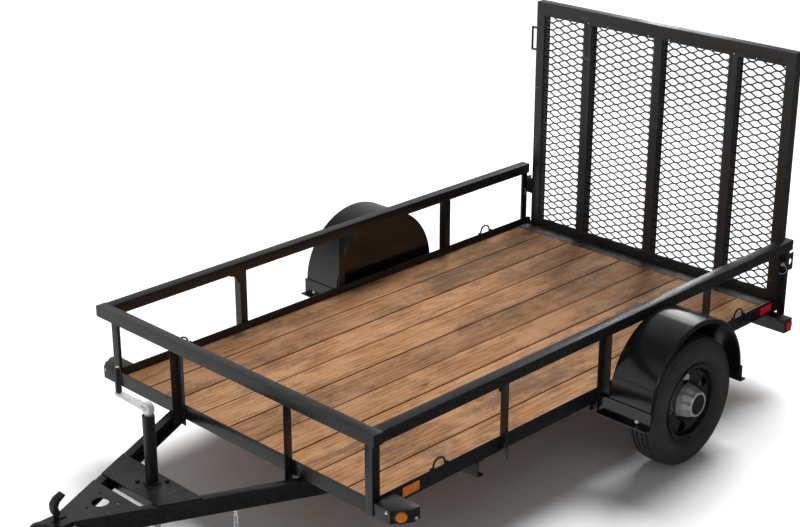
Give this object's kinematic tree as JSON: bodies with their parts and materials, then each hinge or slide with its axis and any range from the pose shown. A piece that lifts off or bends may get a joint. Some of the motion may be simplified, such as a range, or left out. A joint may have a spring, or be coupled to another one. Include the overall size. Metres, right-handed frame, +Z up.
{
  "type": "single-axle utility trailer",
  "caption": "Low utility trailer with a plank deck, tube rails on angle posts, a mesh ramp gate, round fenders, a tongue jack and a ball coupler.",
  "frame": {"origin": "on the ground, below the middle of the length between the gate ears and the coupler nose, and on the centre line", "axes": "+X forward along the tongue, +Y to the trailer's left, +Z up"},
  "size_m": [3.916, 2.24, 1.659],
  "materials": {
    "black_paint": "gloss black paint over welded angle, worn at the edges",
    "dark_steel": "dull black paint with road dirt",
    "bare_steel": "zinc plated, dulled",
    "hub_silver": "dull silver",
    "deck_wood": "weathered brown planks with bare scuffs",
    "tyre_rubber": "matt black rubber",
    "rim_paint": "satin black",
    "amber_plastic": "clear amber",
    "red_plastic": "clear red"
  },
  "bodies": {
    "chassis": {"frame_side_left": "black_paint", "frame_side_right": "black_paint", "frame_front": "black_paint", "frame_rear_sill": "black_paint", "deck_crossmembers": "dark_steel", "deck_planks": "deck_wood", "tongue_crossmember": "dark_steel", "tongue_left": "black_paint", "tongue_right": "black_paint", "coupler": "black_paint", "jack_mount": "black_paint", "jack_outer_tube": "black_paint", "rail_left": "black_paint", "rail_right": "black_paint", "rail_front": "black_paint", "posts_left": "black_paint", "posts_right": "black_paint", "posts_front": "black_paint", "fender_left": "black_paint", "fender_right": "black_paint", "axle": "dark_steel", "springs": "dark_steel", "spring_fittings": "dark_steel", "marker_boxes": "black_paint", "amber_lenses": "amber_plastic", "tail_bar": "black_paint", "red_lenses": "red_plastic", "tie_loops": "black_paint", "gate_pins": "bare_steel", "safety_chains": "bare_steel"},
    "gate": {"gate_frame": "black_paint", "gate_mesh": "dark_steel", "gate_handle": "black_paint"},
    "jack_foot": {"jack_leg": "bare_steel"},
    "jack_handle": {"jack_crank": "bare_steel"},
    "latch": {"coupler_latch": "bare_steel"},
    "wheel_left": {"tyre_left": "tyre_rubber", "rim_left": "rim_paint", "hub_left": "dark_steel", "hub_cap_left": "hub_silver"},
    "wheel_right": {"tyre_right": "tyre_rubber", "rim_right": "rim_paint", "hub_right": "dark_steel", "hub_cap_right": "hub_silver"}
  },
  "joints": [
    {"name": "gate_hinge", "type": "hinge", "parent": "chassis", "child": "gate", "pos_m": [-1.924, 0, 0.375], "axis": [0, -1, 0], "range_deg": [0, 105]},
    {"name": "jack_slide", "type": "slide", "parent": "chassis", "child": "jack_foot", "axis": [0, 0, 1], "range_m": [-0.1, 0.15]},
    {"name": "jack_crank_turn", "type": "hinge", "parent": "chassis", "child": "jack_handle", "pos_m": [1.386, 0.018, 0.682], "axis": [0, 0, 1], "continuous": true},
    {"name": "latch_pivot", "type": "hinge", "parent": "chassis", "child": "latch", "pos_m": [1.831, 0, 0.329], "axis": [0, -1, 0], "range_deg": [0, 40]},
    {"name": "wheel_left_spin", "type": "hinge", "parent": "chassis", "child": "wheel_left", "pos_m": [-0.814, 1.018, 0.306], "axis": [0, 1, 0], "continuous": true},
    {"name": "wheel_right_spin", "type": "hinge", "parent": "chassis", "child": "wheel_right", "pos_m": [-0.814, -1.018, 0.306], "axis": [0, 1, 0], "continuous": true}
  ]
}
